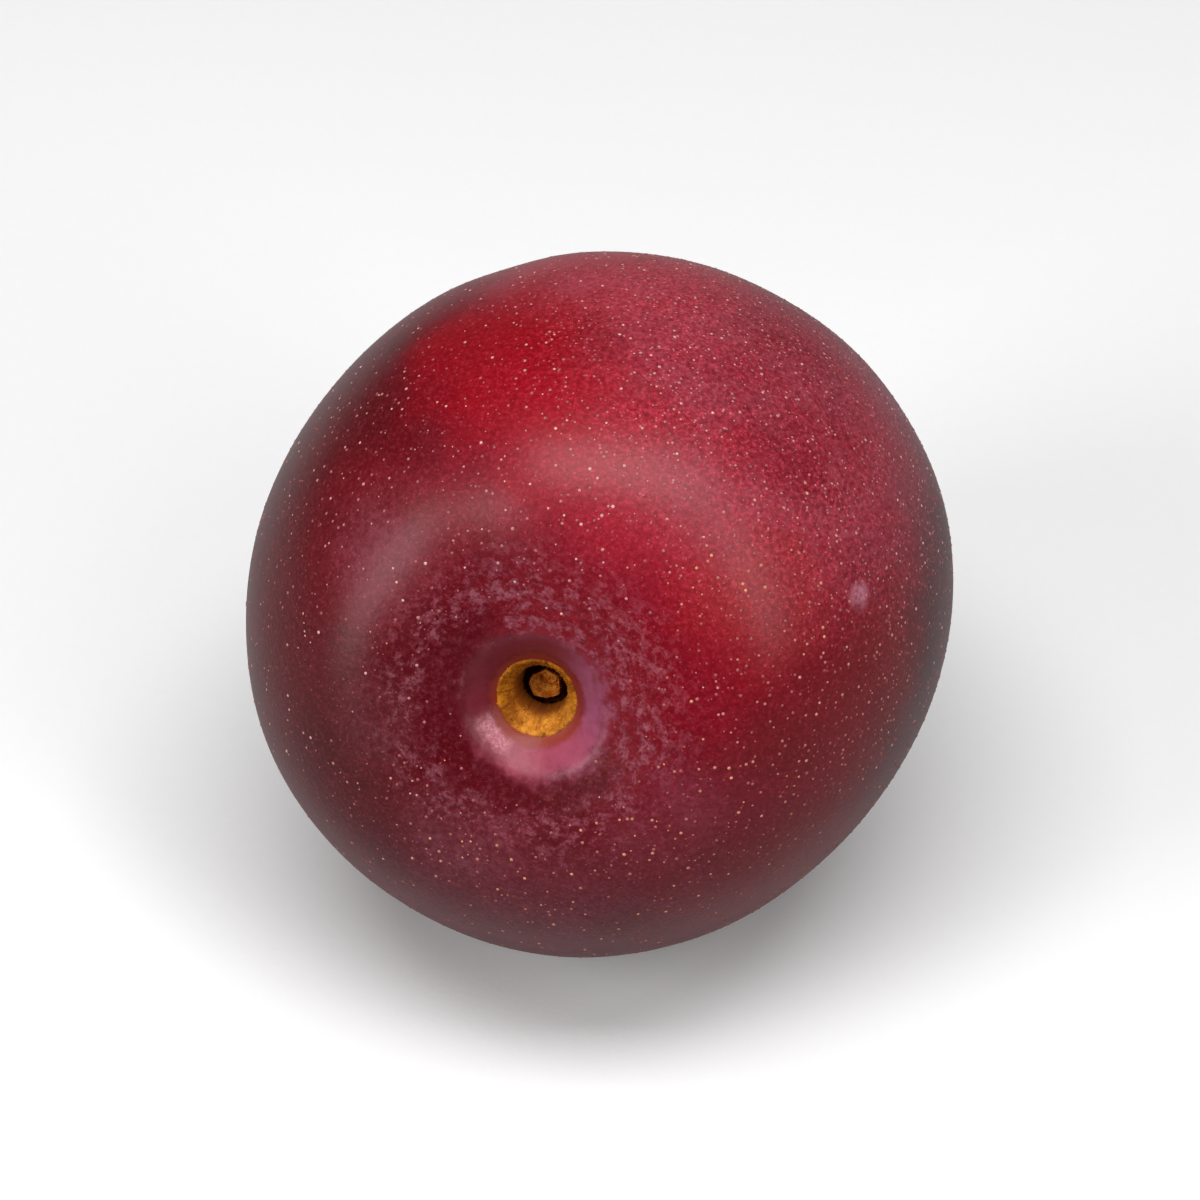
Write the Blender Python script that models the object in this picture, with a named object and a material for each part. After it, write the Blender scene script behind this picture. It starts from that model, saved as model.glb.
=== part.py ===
"""A whole Indian plum, lying on its side with the stalk end towards -Y and a little up.

Units are metres and +Z is up. The plane z = 0 is the surface that the fruit rests on,
and the origin is the middle of the fruit's footprint on it. Each piece is modelled in
the fruit's own frame, whose Z runs along the core from the blossom end to the stalk
end, and an empty then tips that frame over and sets it down.
"""

import math

import bmesh
import bpy
from mathutils import Matrix, Vector

MM = 0.001

# Driving dimensions of the body: its equator, its shoulder and its blossom end
RADIUS = 27.0 * MM
SHOULDER_RADIUS = 9.0 * MM
SHOULDER_HEIGHT = 24.2 * MM
SHOULDER_FULLNESS = 2.05
BASE_DEPTH = 26.4 * MM
BASE_FULLNESS = 2.05

# The sunken stalk end, from the outside in: a wide shallow dish, a cup in its middle,
# a corky cone in the cup and a steep hole in the cone. Each is a depth and the two
# radii between which the skin falls by it.
DISH_DEPTH = 1.4 * MM
DISH_RADIUS = 8.5 * MM
CUP = (1.9 * MM, 2.4 * MM, 5.9 * MM)
CORK = (1.3 * MM, 1.6 * MM, 2.95 * MM)
HOLE = (3.2 * MM, 1.6 * MM, 2.1 * MM)

# What makes the body uneven round its core; longitudes turn from +X towards +Y
# A swell is its number of lobes, their height as a share of the radius, and where one is.
OVAL = (2, 0.0205, math.radians(46.0))
LOBES = (3, 0.0025, math.radians(20.0))
CORNERS = (4, 0.0050, math.radians(22.5))
SHOULDER_SLANT = 0.45 * MM
SHOULDER_LONGITUDE = math.radians(300.0)
SUTURE_LONGITUDE = math.radians(114.0)
SUTURE_DEPTH = 0.32 * MM
SUTURE_WIDTH = 3.6 * MM
SUTURE_FADE = 0.6
STEADY_RADIUS = 4.0 * MM
UNEVEN_RADIUS = 11.0 * MM

# The blossom end: a shallow dimple round the small point that the style leaves
DIMPLE_DEPTH = 0.45 * MM
DIMPLE_RADIUS = 4.2 * MM
POINT_HEIGHT = 0.50 * MM
POINT_RADIUS = 0.75 * MM

# The broken stalk
STUB_CLEARANCE = 0.35 * MM
STUB_HEIGHT = 1.85 * MM
STUB_FOOT_RADIUS = 1.22 * MM
STUB_WAIST_RADIUS = 1.02 * MM
STUB_END_RADIUS = 1.14 * MM
STUB_RIBS = 5
STUB_RIB_SWELL = 0.07
STUB_END_SLANT = 0.28 * MM
STUB_END_HOLLOW = 0.30 * MM
STUB_FOOT_SHARE = 0.25
STUB_SIDE_SHARE = 0.75

# How the fruit lies
CORE_RISE = math.radians(24.0)
REST_FLAT_DEPTH = 0.42 * MM
CUTTER_SIDE = 90.0 * MM
CUTTER_HEIGHT = 20.0 * MM

# Mesh density
FRUIT_SEGMENTS = 72
FRUIT_RINGS = 58
RING_SPACING_AT_CORE = 0.42 * MM
RING_SPACING_GROWTH = 0.13
RING_SPACING_LIMIT = 2.6 * MM
PROFILE_SAMPLES = 4000
STUB_SEGMENTS = 24
STUB_RINGS = 16


def fall(distance, inner, outer):
    """1 within inner, 0 beyond outer, and a smooth fall between the two."""
    share = min(max((outer - distance) / (outer - inner), 0.0), 1.0)
    return share * share * (3.0 - 2.0 * share)


def quarter(share, fullness):
    """Height of a quarter round at a share of its width: 1 at 0, and 0 at 1."""
    return max(1.0 - share**fullness, 0.0) ** (1.0 / fullness)


def profile(polar):
    """Distance from the core and height along it, at a polar angle from the stalk end."""
    radius = RADIUS * math.sin(polar)
    if polar < math.pi / 2:
        over = max(radius - SHOULDER_RADIUS, 0.0) / (RADIUS - SHOULDER_RADIUS)
        height = SHOULDER_HEIGHT * quarter(over, SHOULDER_FULLNESS)
        height -= DISH_DEPTH * math.exp(-((radius / DISH_RADIUS) ** 2))
        for depth, inner, outer in (CUP, CORK, HOLE):
            height -= depth * fall(radius, inner, outer)
        return radius, height
    height = -BASE_DEPTH * quarter(radius / RADIUS, BASE_FULLNESS)
    height += DIMPLE_DEPTH * math.exp(-((radius / DIMPLE_RADIUS) ** 2))
    height -= POINT_HEIGHT * math.exp(-((radius / POINT_RADIUS) ** 2))
    return radius, height


def suture_depth(polar, radius, longitude):
    """How far the suture sinks the skin: deepest at the shoulder, fainter further down."""
    turn = math.remainder(longitude - SUTURE_LONGITUDE, math.tau)
    across = math.exp(-((radius * turn / SUTURE_WIDTH) ** 2))
    along = 1.0 - SUTURE_FADE * math.sin(polar / 2.0) ** 2
    leaves_cup = 1.0 - fall(radius, STEADY_RADIUS, UNEVEN_RADIUS)
    return SUTURE_DEPTH * across * along * leaves_cup


def skin_point(polar, longitude):
    """The skin's point in the fruit's frame."""
    radius, height = profile(polar)
    uneven = 1.0 - fall(radius, STEADY_RADIUS, UNEVEN_RADIUS)
    swell = 0.0
    for count, share, peak in (OVAL, LOBES, CORNERS):
        swell += share * math.cos(count * (longitude - peak))
    wide = radius * (1.0 + uneven * swell)
    if polar < math.pi / 2:
        slant = math.cos(longitude - SHOULDER_LONGITUDE) * math.cos(polar)
        height += uneven * SHOULDER_SLANT * slant
    point = Vector((wide * math.cos(longitude), wide * math.sin(longitude), height))
    return point - point.normalized() * suture_depth(polar, radius, longitude)


def ring_polar_angles(count):
    """Polar angles of count rings: close together round the core, wider on the body."""
    polar = [math.pi * i / PROFILE_SAMPLES for i in range(PROFILE_SAMPLES + 1)]
    places = [Vector(profile(angle)) for angle in polar]
    reach = [0.0]
    for before, after in zip(places, places[1:]):
        spacing = RING_SPACING_AT_CORE + RING_SPACING_GROWTH * after.x
        step = (after - before).length / min(spacing, RING_SPACING_LIMIT)
        reach.append(reach[-1] + step)
    angles = [0.0]
    sample = 0
    for ring in range(1, count):
        while reach[sample] < reach[-1] * ring / count:
            sample += 1
        angles.append(polar[sample])
    return angles + [math.pi]


def wrapped_sphere(name, segments, rings, place):
    """A UV sphere whose vertices are laid by place(ring, longitude), as a mesh."""
    mesh = bpy.data.meshes.new(name)
    body = bmesh.new()
    bmesh.ops.create_uvsphere(body, u_segments=segments, v_segments=rings, radius=1.0)
    for vertex in body.verts:
        polar = math.acos(min(max(vertex.co.z, -1.0), 1.0))
        longitude = math.atan2(vertex.co.y, vertex.co.x)
        vertex.co = place(round(polar / math.pi * rings), longitude)
    body.to_mesh(mesh)
    body.free()
    mesh.shade_smooth()
    return mesh


def stub_point(ring, longitude):
    """The broken stalk's point: over its foot, up its ribbed side and in over its end."""
    share = 1.0 - ring / STUB_RINGS
    if share < STUB_FOOT_SHARE:
        radius = STUB_FOOT_RADIUS * share / STUB_FOOT_SHARE
        height = 0.0
    elif share < STUB_SIDE_SHARE:
        up = (share - STUB_FOOT_SHARE) / (STUB_SIDE_SHARE - STUB_FOOT_SHARE)
        waist = math.sin(math.pi * up) * (STUB_FOOT_RADIUS - STUB_WAIST_RADIUS)
        radius = STUB_FOOT_RADIUS + (STUB_END_RADIUS - STUB_FOOT_RADIUS) * up - waist
        height = STUB_HEIGHT * up
    else:
        inward = (share - STUB_SIDE_SHARE) / (1.0 - STUB_SIDE_SHARE)
        radius = STUB_END_RADIUS * (1.0 - inward)
        height = STUB_HEIGHT - STUB_END_HOLLOW * math.sin(math.pi * inward)
    radius *= 1.0 + STUB_RIB_SWELL * math.cos(STUB_RIBS * longitude)
    slant = STUB_END_SLANT * math.cos(longitude) * radius / STUB_END_RADIUS
    height += slant * height / STUB_HEIGHT
    return Vector((radius * math.cos(longitude), radius * math.sin(longitude), height))


def finish(name, colour, roughness):
    """A material with the piece's own colour and roughness."""
    material = bpy.data.materials.new(name)
    material.use_nodes = True
    shader = material.node_tree.nodes["Principled BSDF"]
    shader.inputs["Base Color"].default_value = (*colour, 1.0)
    shader.inputs["Roughness"].default_value = roughness
    shader.inputs["Metallic"].default_value = 0.0
    material.diffuse_color = (*colour, 1.0)
    return material


def add_piece(name, mesh, material, collection, pose):
    """A piece that lies in the fruit's frame."""
    piece = bpy.data.objects.new(name, mesh)
    piece.parent = pose
    mesh.materials.append(material)
    collection.objects.link(piece)
    return piece


def resting_place(mesh, tip):
    """Where the fruit's frame goes, so that the fruit lies centred, its flat at z = 0."""
    points = [tip @ vertex.co for vertex in mesh.vertices]
    low = [min(point[axis] for point in points) for axis in range(3)]
    high = [max(point[axis] for point in points) for axis in range(3)]
    middle_x = (low[0] + high[0]) / 2.0
    middle_y = (low[1] + high[1]) / 2.0
    return Vector((-middle_x, -middle_y, -low[2] - REST_FLAT_DEPTH))


def add_rest_cutter(collection):
    """The block that cuts the resting flat: its top face is the plane z = 0."""
    mesh = bpy.data.meshes.new("rest_flat_cutter")
    block = bmesh.new()
    bmesh.ops.create_cube(block, size=1.0)
    size = Matrix.Diagonal((CUTTER_SIDE, CUTTER_SIDE, CUTTER_HEIGHT, 1.0))
    down = Matrix.Translation((0.0, 0.0, -CUTTER_HEIGHT / 2.0))
    bmesh.ops.transform(block, matrix=down @ size, verts=block.verts)
    block.to_mesh(mesh)
    block.free()
    cutter = bpy.data.objects.new("rest_flat_cutter", mesh)
    cutter.hide_render = True
    cutter.display_type = "WIRE"
    collection.objects.link(cutter)
    return cutter


def clear_scene():
    """Takes every object out of the scene."""
    for thing in list(bpy.data.objects):
        bpy.data.objects.remove(thing, do_unlink=True)


def add_collection(name):
    """A collection in the scene."""
    collection = bpy.data.collections.new(name)
    bpy.context.scene.collection.children.link(collection)
    return collection


def build():
    """The plum: its fruit and the broken stalk in it."""
    clear_scene()
    plum = add_collection("indian_plum")
    cutters = add_collection("cutters")

    polar_angles = ring_polar_angles(FRUIT_RINGS)
    fruit_mesh = wrapped_sphere(
        "fruit",
        FRUIT_SEGMENTS,
        FRUIT_RINGS,
        lambda ring, longitude: skin_point(polar_angles[ring], longitude),
    )
    tip = Matrix.Rotation(math.pi / 2.0 - CORE_RISE, 4, "X")
    pose = bpy.data.objects.new("fruit_frame", None)
    pose.matrix_world = Matrix.Translation(resting_place(fruit_mesh, tip)) @ tip
    plum.objects.link(pose)

    skin = finish("plum_skin", (0.17, 0.010, 0.022), 0.38)
    fruit = add_piece("fruit", fruit_mesh, skin, plum, pose)
    flat = fruit.modifiers.new("resting_flat", "BOOLEAN")
    flat.operation = "DIFFERENCE"
    flat.object = add_rest_cutter(cutters)

    stub_mesh = wrapped_sphere("stalk_stub", STUB_SEGMENTS, STUB_RINGS, stub_point)
    bark = finish("dry_stalk", (0.36, 0.19, 0.055), 0.80)
    stub = add_piece("stalk_stub", stub_mesh, bark, plum, pose)
    stub.location.z = profile(0.0)[1] + STUB_CLEARANCE


build()
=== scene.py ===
"""Looks of one fresh Indian plum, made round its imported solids.

The fruit rests on its side, tipped back a little, with the sunken stalk end towards the
viewer. All sizes are in metres unless a name says millimetres or degrees. The fruit has a
frame of its own: Z runs along the core to the stalk, X is the fruit's right, and a
longitude is counted from X round Z. Materials read that frame in millimetres.
"""

import logging
import math
from collections.abc import Callable
from dataclasses import dataclass
from enum import Enum

import bmesh
import bpy
from mathutils import Matrix, Vector, noise


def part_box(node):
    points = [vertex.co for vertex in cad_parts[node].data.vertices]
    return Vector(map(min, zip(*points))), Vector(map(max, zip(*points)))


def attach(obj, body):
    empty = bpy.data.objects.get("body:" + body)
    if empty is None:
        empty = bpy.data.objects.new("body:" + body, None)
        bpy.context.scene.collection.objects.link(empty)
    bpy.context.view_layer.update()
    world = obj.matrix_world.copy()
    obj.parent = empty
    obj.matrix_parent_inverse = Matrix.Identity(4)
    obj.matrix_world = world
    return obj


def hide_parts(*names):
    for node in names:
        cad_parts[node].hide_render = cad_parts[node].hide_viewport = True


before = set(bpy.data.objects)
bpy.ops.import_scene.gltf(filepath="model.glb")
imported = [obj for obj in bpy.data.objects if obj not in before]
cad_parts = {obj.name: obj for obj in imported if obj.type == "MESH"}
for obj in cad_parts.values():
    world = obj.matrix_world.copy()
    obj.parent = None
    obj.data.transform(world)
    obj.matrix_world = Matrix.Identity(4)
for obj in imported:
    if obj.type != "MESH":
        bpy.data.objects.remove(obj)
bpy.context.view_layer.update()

MM = 0.001
BODY = "root"
Colour = tuple[float, float, float]
# Two distances or heights between which something fades.
Zone = tuple[float, float]
Mesh = bpy.types.Mesh
Material = bpy.types.Material
Node = bpy.types.Node
Socket = bpy.types.NodeSocket
Sockets = bpy.types.bpy_prop_collection
Value = Socket | float | Vector | tuple | None
log = logging.getLogger("plum")


class Slot(Enum):
    """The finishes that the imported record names."""

    SKIN = "plum_skin"
    STALK = "dry_stalk"


class Lobe(Enum):
    """Slow swellings round the core: how many, how far as a share, and where they peak."""

    OVAL = (2, 0.0205, math.radians(46.0))
    THREE = (3, 0.0025, math.radians(20.0))
    FOUR = (4, 0.0050, math.radians(22.5))


def fall(distance: float, inner: float, outer: float) -> float:
    """Fade smoothly from 1 at the inner distance to 0 at the outer one.

    Args:
        distance: Where the fade is read.
        inner: Up to here the result is 1.
        outer: From here on the result is 0.

    Returns:
        The share, from 0 to 1.
    """
    share = min(max((outer - distance) / (outer - inner), 0.0), 1.0)
    return share * share * (3.0 - 2.0 * share)


def quarter(share: float, fullness: float) -> float:
    """Return the height, from 1 to 0, of a rounded quarter at a share of its width."""
    return max(1.0 - share**fullness, 0.0) ** (1.0 / fullness)


def grain(point: Vector, size: float, seed: float = 0.0) -> float:
    """Read smooth noise.

    Args:
        point: The place, in metres.
        size: The size of one lump, in metres.
        seed: Another number gives other lumps.

    Returns:
        A value from about -1 to 1.
    """
    return noise.noise(point / size + Vector((seed, 3.7 * seed, -1.9 * seed)))


def outward(longitude: float) -> Vector:
    """Return the unit direction out from the core at a longitude."""
    return Vector((math.cos(longitude), math.sin(longitude), 0.0))


def closed_wrap(
    name: str, segments: int, rings: int, place: Callable[[int, float], Vector]
) -> Mesh:
    """Build a closed round mesh, pole to pole, from a rule for its points.

    Args:
        name: The mesh's name.
        segments: How many points there are round each ring.
        rings: How many rings lie between the two poles.
        place: Gives the point of a ring, 0 at the first pole, at a longitude.

    Returns:
        The mesh, with its faces outwards.
    """
    points = [place(0, 0.0)]
    for ring in range(1, rings + 1):
        points += [place(ring, math.tau * step / segments) for step in range(segments)]
    points.append(place(rings + 1, 0.0))
    last = len(points) - 1
    faces = []
    for step in range(segments):
        after = (step + 1) % segments
        faces.append((0, 1 + step, 1 + after))
        faces.append((last, last - segments + after, last - segments + step))
        for ring in range(rings - 1):
            upper, lower = 1 + ring * segments, 1 + (ring + 1) * segments
            faces.append((upper + step, lower + step, lower + after, upper + after))
    mesh = bpy.data.meshes.new(name)
    mesh.from_pydata(points, [], faces)
    return mesh


def closed_hoop(
    name: str, segments: int, across: int, place: Callable[[int, float], Vector]
) -> Mesh:
    """Build a closed hoop, a bent tube without ends, from a rule for its points.

    Args:
        name: The mesh's name.
        segments: How many steps there are round the core.
        across: How many points there are round the section.
        place: Gives the point of a section step at a longitude.

    Returns:
        The mesh, with its faces outwards.
    """
    points = [
        place(index, math.tau * step / segments)
        for step in range(segments)
        for index in range(across)
    ]
    faces = []
    for step in range(segments):
        here, after = step * across, (step + 1) % segments * across
        for index in range(across):
            beside = (index + 1) % across
            faces.append((here + index, here + beside, after + beside, after + index))
    mesh = bpy.data.meshes.new(name)
    mesh.from_pydata(points, [], faces)
    work = bmesh.new()
    work.from_mesh(mesh)
    bmesh.ops.recalc_face_normals(work, faces=work.faces)
    work.to_mesh(mesh)
    work.free()
    return mesh


def shown(name: str, mesh: Mesh, finish: Material, slot: Slot) -> bpy.types.Object:
    """Put a finished mesh into the scene as a piece that rides on the fruit's body.

    Args:
        name: The piece's name.
        mesh: Its mesh, with its place already in the points.
        finish: Its material.
        slot: The record's slot that the finish belongs to. Not used.

    Returns:
        The piece.
    """
    mesh.materials.clear()
    mesh.materials.append(finish)
    mesh.polygons.foreach_set("use_smooth", [True] * len(mesh.polygons))
    mesh.update()
    piece = bpy.data.objects.new(name, mesh)
    bpy.context.scene.collection.objects.link(piece)
    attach(piece, BODY)
    log.info("%s: %d points, %d faces", name, len(mesh.vertices), len(mesh.polygons))
    return piece


@dataclass(frozen=True)
class FruitShape:
    """The outside of the fruit, by the same rule as its solid.

    Each drop of the stalk's hollow is a depth with the radii between which it falls.
    """

    radius: float = 27.0 * MM
    shoulder_radius: float = 9.0 * MM
    shoulder_height: float = 24.2 * MM
    shoulder_fullness: float = 2.05
    base_depth: float = 26.4 * MM
    base_fullness: float = 2.05
    dish_depth: float = 1.4 * MM
    dish_radius: float = 8.5 * MM
    cup: tuple[float, float, float] = (1.9 * MM, 2.4 * MM, 5.9 * MM)
    cork: tuple[float, float, float] = (1.3 * MM, 1.6 * MM, 2.95 * MM)
    hole: tuple[float, float, float] = (3.2 * MM, 1.6 * MM, 2.1 * MM)
    slant: float = 0.45 * MM
    slant_longitude: float = math.radians(300.0)
    suture_longitude: float = math.radians(114.0)
    suture_depth: float = 0.32 * MM
    suture_width: float = 3.6 * MM
    suture_fade: float = 0.6
    steady_radius: float = 4.0 * MM
    uneven_radius: float = 11.0 * MM
    dimple_depth: float = 0.45 * MM
    dimple_radius: float = 4.2 * MM
    point_height: float = 0.50 * MM
    point_radius: float = 0.75 * MM
    core_rise: float = math.radians(24.0)
    box_rings: int = 58
    box_segments: int = 72

    def height_at(self, radius: float) -> float:
        """Return the height of the upper half at a radius from the core."""
        over = max(radius - self.shoulder_radius, 0.0) / (self.radius - self.shoulder_radius)
        height = self.shoulder_height * quarter(over, self.shoulder_fullness)
        height -= self.dish_depth * math.exp(-((radius / self.dish_radius) ** 2))
        for depth, inner, outer in (self.cup, self.cork, self.hole):
            height -= depth * fall(radius, inner, outer)
        return height

    def profile(self, polar: float) -> tuple[float, float]:
        """Return the radius and height of the outline at a polar angle from the stalk."""
        radius = self.radius * math.sin(polar)
        if polar < math.pi / 2:
            return radius, self.height_at(radius)
        height = -self.base_depth * quarter(radius / self.radius, self.base_fullness)
        height += self.dimple_depth * math.exp(-((radius / self.dimple_radius) ** 2))
        height -= self.point_height * math.exp(-((radius / self.point_radius) ** 2))
        return radius, height

    def steadiness(self, radius: float) -> float:
        """Return 1 near the core, where the fruit is round, and 0 where it swells freely."""
        return fall(radius, self.steady_radius, self.uneven_radius)

    def suture_at(self, polar: float, radius: float, longitude: float) -> float:
        """Return the depth of the seam line that runs from the stalk to the blossom end."""
        turn = math.remainder(longitude - self.suture_longitude, math.tau)
        across = math.exp(-((radius * turn / self.suture_width) ** 2))
        along = 1.0 - self.suture_fade * math.sin(polar / 2.0) ** 2
        return self.suture_depth * across * along * (1.0 - self.steadiness(radius))

    def point(self, polar: float, longitude: float) -> Vector:
        """Return the skin's point, in the fruit's frame, at two angles."""
        radius, height = self.profile(polar)
        free = 1.0 - self.steadiness(radius)
        swell = sum(
            share * math.cos(count * (longitude - peak))
            for count, share, peak in (lobe.value for lobe in Lobe)
        )
        wide = radius * (1.0 + free * swell)
        if polar < math.pi / 2:
            height += free * self.slant * math.cos(
                longitude - self.slant_longitude
            ) * math.cos(polar)
        place = Vector((wide * math.cos(longitude), wide * math.sin(longitude), height))
        return place - place.normalized() * self.suture_at(polar, radius, longitude)

    def seat(self) -> Matrix:
        """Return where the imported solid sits: the turn of the core and the fruit's place.

        Returns:
            The matrix from the fruit's frame to the row frame.
        """
        turn = Matrix.Rotation(math.pi / 2 - self.core_rise, 4, "X")
        spots = []
        for ring in range(self.box_rings + 2):
            polar = math.pi * ring / (self.box_rings + 1)
            for step in range(self.box_segments):
                spots.append(turn @ self.point(polar, math.tau * step / self.box_segments))
        low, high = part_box("fruit")
        wide, deep, tall = ([spot[axis] for spot in spots] for axis in range(3))
        across = (low.x + high.x - min(wide) - max(wide)) / 2.0
        along = (low.y + high.y - min(deep) - max(deep)) / 2.0
        return Matrix.Translation((across, along, high.z - max(tall))) @ turn


class Graph:
    """Adds nodes to one node tree and joins them.

    Wherever a method takes a value, a socket is linked and anything else is set.
    """

    def __init__(self, tree: bpy.types.NodeTree) -> None:
        """Keep the tree that the nodes go into."""
        self.tree = tree

    def node(self, kind: str, **settings: object) -> Node:
        """Add a node and set its properties.

        Args:
            kind: The node's type name.
            **settings: Properties of the node by name.

        Returns:
            The node.
        """
        made = self.tree.nodes.new(kind)
        for name, value in settings.items():
            setattr(made, name, value)
        return made

    def feed(self, socket: Socket, value: Value) -> None:
        """Link or set one input."""
        if isinstance(value, Socket):
            self.tree.links.new(value, socket)
        elif value is not None:
            bare = socket.type == "RGBA" and len(value) == 3
            socket.default_value = (*value, 1.0) if bare else value

    def made(self, kind: str, inputs: dict[str, Value], **settings: object) -> Node:
        """Add a node, set its properties and feed its named inputs.

        Args:
            kind: The node's type name.
            inputs: Values by input name.
            **settings: Properties of the node by name.

        Returns:
            The node.
        """
        node = self.node(kind, **settings)
        for name, value in inputs.items():
            self.feed(node.inputs[name], value)
        return node

    def math(
        self, operation: str, first: Value, second: Value = None, third: Value = None
    ) -> Socket:
        """Add a Math node and return its result."""
        node = self.node("ShaderNodeMath", operation=operation)
        for socket, value in zip(node.inputs, (first, second, third)):
            self.feed(socket, value)
        return node.outputs[0]

    def vector(
        self, operation: str, first: Value, second: Value = None, output: str = "Vector"
    ) -> Socket:
        """Add a Vector Math node and return the named result."""
        node = self.node("ShaderNodeVectorMath", operation=operation)
        self.feed(node.inputs[0], first)
        self.feed(node.inputs[1], second)
        return node.outputs[output]

    def times(self, first: Value, second: Value) -> Socket:
        """Return the product of two numbers."""
        return self.math("MULTIPLY", first, second)

    def line(self, value: Value, slope: Value, start: Value) -> Socket:
        """Return a number times a slope, plus a start."""
        return self.math("MULTIPLY_ADD", value, slope, start)

    def larger(self, first: Value, second: Value) -> Socket:
        """Return the larger of two numbers."""
        return self.math("MAXIMUM", first, second)

    def upright(self, height: Value) -> Socket:
        """Return a vector along Z."""
        return self.made("ShaderNodeCombineXYZ", {"Z": height}).outputs[0]

    def wobble(self, vector: Value, scale: float, detail: float, rough: float) -> Socket:
        """Return smooth noise, from -0.5 to 0.5."""
        return self.math("SUBTRACT", self.noise(vector, scale, detail, rough), 0.5)

    def facing(self, ring: Value, longitude: float, low: float, high: float) -> Socket:
        """Mask the side that faces a longitude.

        Args:
            ring: The unit direction out from the core.
            longitude: The side, in degrees.
            low: The cosine of the turn at which the mask begins.
            high: The cosine at which it is full.

        Returns:
            The mask.
        """
        side = outward(math.radians(longitude))
        return self.fade(self.vector("DOT_PRODUCT", ring, side, "Value"), low, high)

    def scaled(self, vector: Value, size: Value) -> Socket:
        """Multiply a vector by a number and return it."""
        return self.made(
            "ShaderNodeVectorMath", {"Vector": vector, "Scale": size}, operation="SCALE"
        ).outputs[0]

    def fade(
        self, value: Value, low: float, high: float, start: float = 0.0, end: float = 1.0
    ) -> Socket:
        """Map a value smoothly.

        Args:
            value: What is mapped.
            low: Where the result begins to change.
            high: Where it stops changing. It may be under low.
            start: The result at low.
            end: The result at high.

        Returns:
            The mapped value.
        """
        inputs = {"Value": value, "From Min": low, "From Max": high, "To Min": start, "To Max": end}
        return self.made(
            "ShaderNodeMapRange", inputs, interpolation_type="SMOOTHSTEP"
        ).outputs["Result"]

    def mix(self, share: Value, first: Value, second: Value, blend: str = "MIX") -> Socket:
        """Mix two colours and return the result."""
        node = self.node("ShaderNodeMix", data_type="RGBA", blend_type=blend)
        for index, value in ((0, share), (6, first), (7, second)):
            self.feed(node.inputs[index], value)
        return node.outputs[2]

    def noise(self, vector: Value, scale: Value, detail: float, rough: float) -> Socket:
        """Add a Noise Texture and return its value, from 0 to 1."""
        inputs = {"Vector": vector, "Scale": scale, "Detail": detail, "Roughness": rough}
        return self.made("ShaderNodeTexNoise", inputs).outputs["Fac"]

    def bump(self, height: Value, distance: float) -> Socket:
        """Add a Bump node and return its normal."""
        return self.made(
            "ShaderNodeBump", {"Height": height, "Distance": distance}
        ).outputs["Normal"]

    def group(self, tree: bpy.types.NodeTree, inputs: dict[str, Value]) -> Node:
        """Place a node group with its own values.

        Args:
            tree: The group.
            inputs: Values by input name.

        Returns:
            The group's node.
        """
        return self.made("ShaderNodeGroup", inputs, node_tree=tree)


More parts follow.
